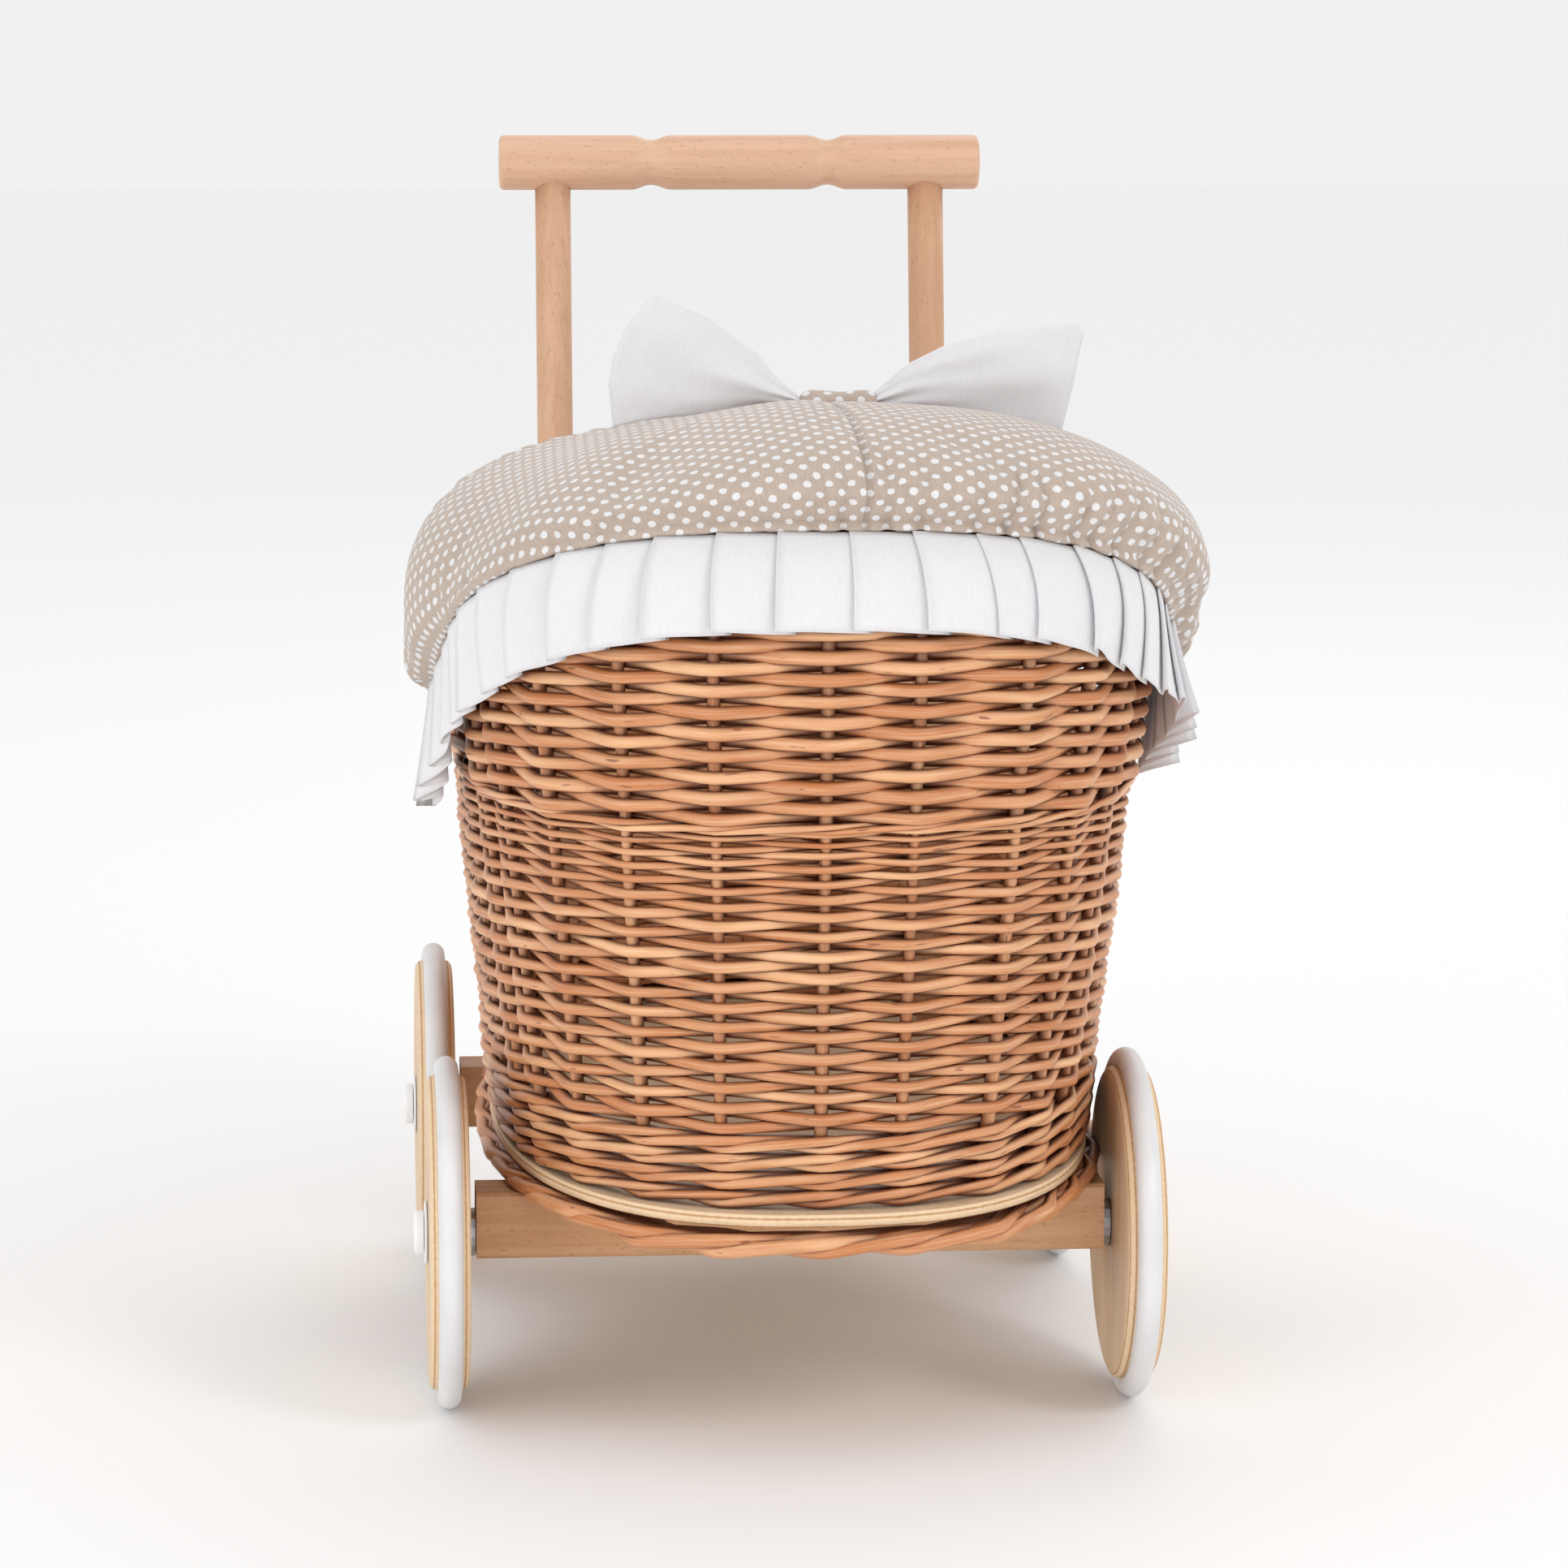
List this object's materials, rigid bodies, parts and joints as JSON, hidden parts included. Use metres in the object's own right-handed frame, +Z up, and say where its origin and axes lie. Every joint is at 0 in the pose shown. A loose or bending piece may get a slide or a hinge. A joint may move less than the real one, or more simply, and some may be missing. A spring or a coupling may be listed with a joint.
{
  "type": "doll stroller",
  "caption": "Doll stroller: a woven willow basket and hood on an oval plywood base, with plywood wheels, a beech push handle, and a dotted padded hood cover with a pleated ruffle and bow.",
  "frame": {"origin": "on the floor, under the middle of the whole object's box", "axes": "+Z up, the hood end faces -Y and the push handle is at +Y, +X is to the right when the hood end is seen from outside"},
  "size_m": [0.363, 0.5306, 0.5565],
  "materials": {
    "willow": "peeled willow rods, satin, with small nodes",
    "beech": "smooth oiled beech, fine grain",
    "plywood": "sanded birch plywood, satin",
    "white_rubber": "matt white rubber",
    "white_plastic": "moulded, semi-gloss",
    "steel": "zinc plated",
    "dotted_cotton": "plain weave cotton, taupe with white dots",
    "white_cotton": "plain weave cotton, white"
  },
  "bodies": {
    "chassis": {"front_crossbar": "beech", "rear_crossbar": "beech", "handle_bar": "beech", "left_post": "beech", "right_post": "beech", "left_dowel": "beech", "right_dowel": "beech", "base_board": "plywood", "foot_border": "willow", "basket_wall": "willow", "rim_border": "willow", "hood_weave": "willow", "hood_border": "willow", "hood_cover": "dotted_cotton", "bow_knot": "dotted_cotton", "ruffle": "white_cotton", "bow_left_wing": "white_cotton", "bow_right_wing": "white_cotton", "board_screw_front_left": "steel", "board_screw_front_right": "steel", "board_screw_rear_left": "steel", "board_screw_rear_right": "steel", "left_post_screw": "steel", "right_post_screw": "steel", "front_left_wheel_spacer": "steel", "front_left_wheel_axle_screw": "steel", "front_right_wheel_spacer": "steel", "front_right_wheel_axle_screw": "steel", "rear_left_wheel_spacer": "steel", "rear_left_wheel_axle_screw": "steel", "rear_right_wheel_spacer": "steel", "rear_right_wheel_axle_screw": "steel", "front_left_wheel_cap_base": "white_plastic", "front_left_wheel_cap": "white_plastic", "front_right_wheel_cap_base": "white_plastic", "front_right_wheel_cap": "white_plastic", "rear_left_wheel_cap_base": "white_plastic", "rear_left_wheel_cap": "white_plastic", "rear_right_wheel_cap_base": "white_plastic", "rear_right_wheel_cap": "white_plastic"},
    "front_left_wheel": {"front_left_wheel_disc": "plywood", "front_left_wheel_tyre": "white_rubber", "front_left_wheel_bush": "white_plastic"},
    "front_right_wheel": {"front_right_wheel_disc": "plywood", "front_right_wheel_tyre": "white_rubber", "front_right_wheel_bush": "white_plastic"},
    "rear_left_wheel": {"rear_left_wheel_disc": "plywood", "rear_left_wheel_tyre": "white_rubber", "rear_left_wheel_bush": "white_plastic"},
    "rear_right_wheel": {"rear_right_wheel_disc": "plywood", "rear_right_wheel_tyre": "white_rubber", "rear_right_wheel_bush": "white_plastic"}
  },
  "joints": [
    {"name": "front_left_wheel_spin", "type": "hinge", "parent": "chassis", "child": "front_left_wheel", "pos_m": [-0.1618, -0.108, 0.08], "axis": [1, 0, 0], "continuous": true},
    {"name": "front_right_wheel_spin", "type": "hinge", "parent": "chassis", "child": "front_right_wheel", "pos_m": [0.1498, -0.108, 0.08], "axis": [1, 0, 0], "continuous": true},
    {"name": "rear_left_wheel_spin", "type": "hinge", "parent": "chassis", "child": "rear_left_wheel", "pos_m": [-0.1618, 0.157, 0.08], "axis": [1, 0, 0], "continuous": true},
    {"name": "rear_right_wheel_spin", "type": "hinge", "parent": "chassis", "child": "rear_right_wheel", "pos_m": [0.1498, 0.157, 0.08], "axis": [1, 0, 0], "continuous": true}
  ]
}
